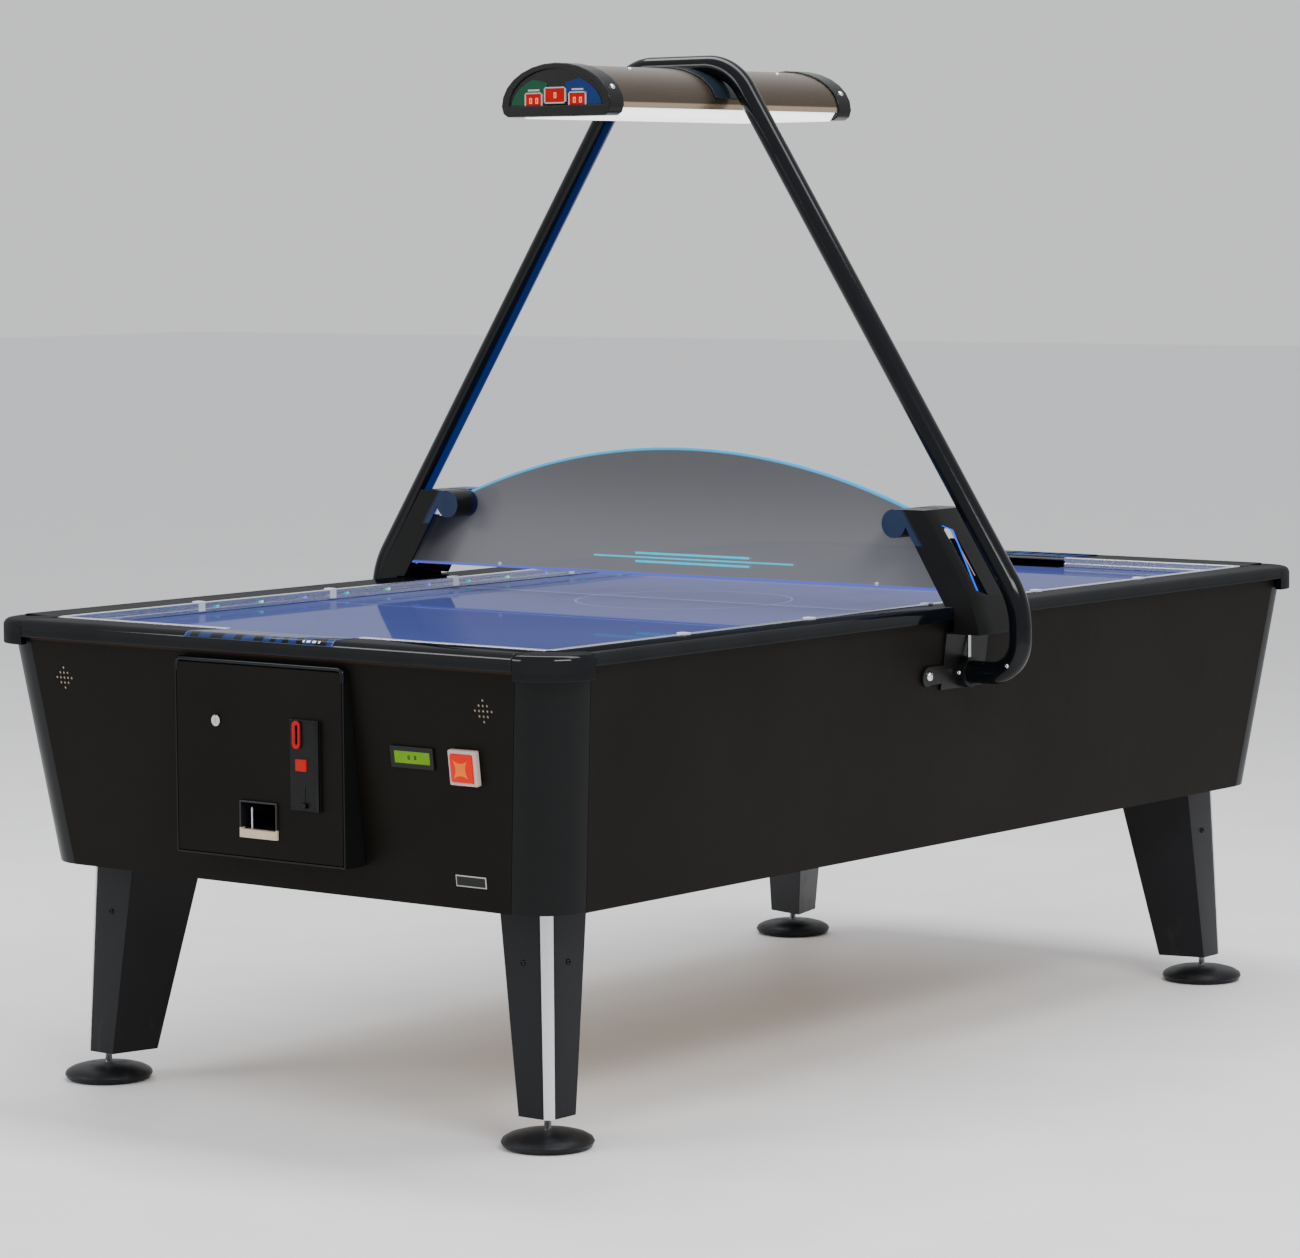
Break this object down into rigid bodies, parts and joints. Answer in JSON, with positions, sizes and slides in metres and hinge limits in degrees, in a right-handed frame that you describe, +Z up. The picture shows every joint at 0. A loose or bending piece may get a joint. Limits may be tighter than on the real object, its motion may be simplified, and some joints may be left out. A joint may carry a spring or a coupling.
{
  "type": "air hockey table",
  "caption": "Air hockey table with a tapering cabinet on legs, an arch carrying a lamp and scoreboard, a clear barrier across the field, goals, puck returns and a coin door.",
  "frame": {"origin": "on the floor under the table's centre", "axes": "+X towards the end away from the coin door, the coin door faces -X; +Y across the table; +Z up. The arch and barrier stand in the plane x = 0."},
  "size_m": [2.298, 1.528, 1.79],
  "materials": {
    "laminate": "dark fine-textured laminate on board",
    "post": "satin black cover",
    "gloss_black": "gloss black moulding",
    "rail": "gloss black rounded rail",
    "sheet_black": "satin black folded sheet steel",
    "tube_black": "gloss black steel tube",
    "field": "glossy blue playing surface",
    "aluminium": "satin extrusion",
    "zinc": "galvanised sheet",
    "leg": "satin black painted board",
    "foot": "black disc on a plated stem",
    "acrylic": "clear acrylic lit at its edge",
    "bronze": "bronze metallic",
    "diffuser": "lit white diffuser",
    "lamp_cap": "black",
    "red": "lit red",
    "reject_red": "red",
    "chrome": "polished",
    "screen": "green display in a black bezel",
    "brass": "cream moulded cup",
    "white": "off-white bezel",
    "enclosure": "dark moulded case",
    "plywood": "bare plywood"
  },
  "bodies": {
    "table": {"air_plenum": "plywood", "arch_bracket_far": "sheet_black", "arch_bracket_near": "sheet_black", "arch_tube": "tube_black", "barrier_sheet": "acrylic", "blower_housing": "zinc", "cabinet_end_front": "laminate", "cabinet_end_rear": "laminate", "cabinet_floor": "plywood", "cabinet_side_far": "laminate", "cabinet_side_near": "laminate", "cash_box": "zinc", "coin_box": "sheet_black", "control_box": "enclosure", "corner_cap_front_far": "gloss_black", "corner_cap_front_near": "gloss_black", "corner_cap_rear_far": "gloss_black", "corner_cap_rear_near": "gloss_black", "corner_post_front_far": "post", "corner_post_front_near": "post", "corner_post_rear_far": "post", "corner_post_rear_near": "post", "credit_display": "screen", "end_bumper_front_far": "aluminium", "end_bumper_front_near": "aluminium", "end_bumper_rear_far": "aluminium", "end_bumper_rear_near": "aluminium", "end_rail_front": "rail", "end_rail_rear": "rail", "lamp_body": "bronze", "lamp_cap_front": "lamp_cap", "lamp_cap_rear": "lamp_cap", "lamp_diffuser": "diffuser", "leg_front_far": "leg", "leg_front_near": "leg", "leg_rear_far": "leg", "leg_rear_near": "leg", "leg_trim_front_far": "aluminium", "leg_trim_front_near": "aluminium", "leg_trim_rear_far": "aluminium", "leg_trim_rear_near": "aluminium", "playfield": "field", "puck_tray_front": "zinc", "puck_tray_rear": "zinc", "side_bumper_far": "aluminium", "side_bumper_near": "aluminium", "side_rail_far": "rail", "side_rail_near": "rail", "start_bezel": "white"},
    "impeller": {"blower_impeller": "zinc"},
    "door": {"coin_door": "laminate", "coin_acceptor": "sheet_black", "return_cup_front": "brass"},
    "lock": {"door_lock": "chrome"},
    "reject": {"reject_button": "reject_red"},
    "start": {"start_button": "red"},
    "levelling_foot_front_near": {"foot_front_near": "foot"},
    "levelling_foot_front_far": {"foot_front_far": "foot"},
    "levelling_foot_rear_near": {"foot_rear_near": "foot"},
    "levelling_foot_rear_far": {"foot_rear_far": "foot"}
  },
  "joints": [
    {"name": "impeller_spin", "type": "hinge", "parent": "table", "child": "impeller", "pos_m": [0.3, 0, 0.4533], "axis": [0, 0, 1], "continuous": true},
    {"name": "door_swing", "type": "hinge", "parent": "table", "child": "door", "pos_m": [-1.1415, -0.184, 0.605], "axis": [0, 0, 1], "range_deg": [0, 100]},
    {"name": "lock_turn", "type": "hinge", "parent": "door", "child": "lock", "pos_m": [-1.143, 0.094, 0.669], "axis": [-1, 0, 0], "range_deg": [0, 90]},
    {"name": "reject_press", "type": "slide", "parent": "door", "child": "reject", "axis": [1, 0, 0], "range_m": [0, 0.003], "stiffness_N_per_m": 400, "springref_m": -0.002},
    {"name": "start_press", "type": "slide", "parent": "table", "child": "start", "axis": [0.9929, 0, 0.1191], "range_m": [0, 0.004], "stiffness_N_per_m": 400, "springref_m": -0.002},
    {"name": "foot_front_near_level", "type": "slide", "parent": "table", "child": "levelling_foot_front_near", "axis": [0, 0, 1], "range_m": [-0.025, 0.018]},
    {"name": "foot_front_far_level", "type": "slide", "parent": "table", "child": "levelling_foot_front_far", "axis": [0, 0, 1], "range_m": [-0.025, 0.018]},
    {"name": "foot_rear_near_level", "type": "slide", "parent": "table", "child": "levelling_foot_rear_near", "axis": [0, 0, 1], "range_m": [-0.025, 0.018]},
    {"name": "foot_rear_far_level", "type": "slide", "parent": "table", "child": "levelling_foot_rear_far", "axis": [0, 0, 1], "range_m": [-0.025, 0.018]}
  ]
}
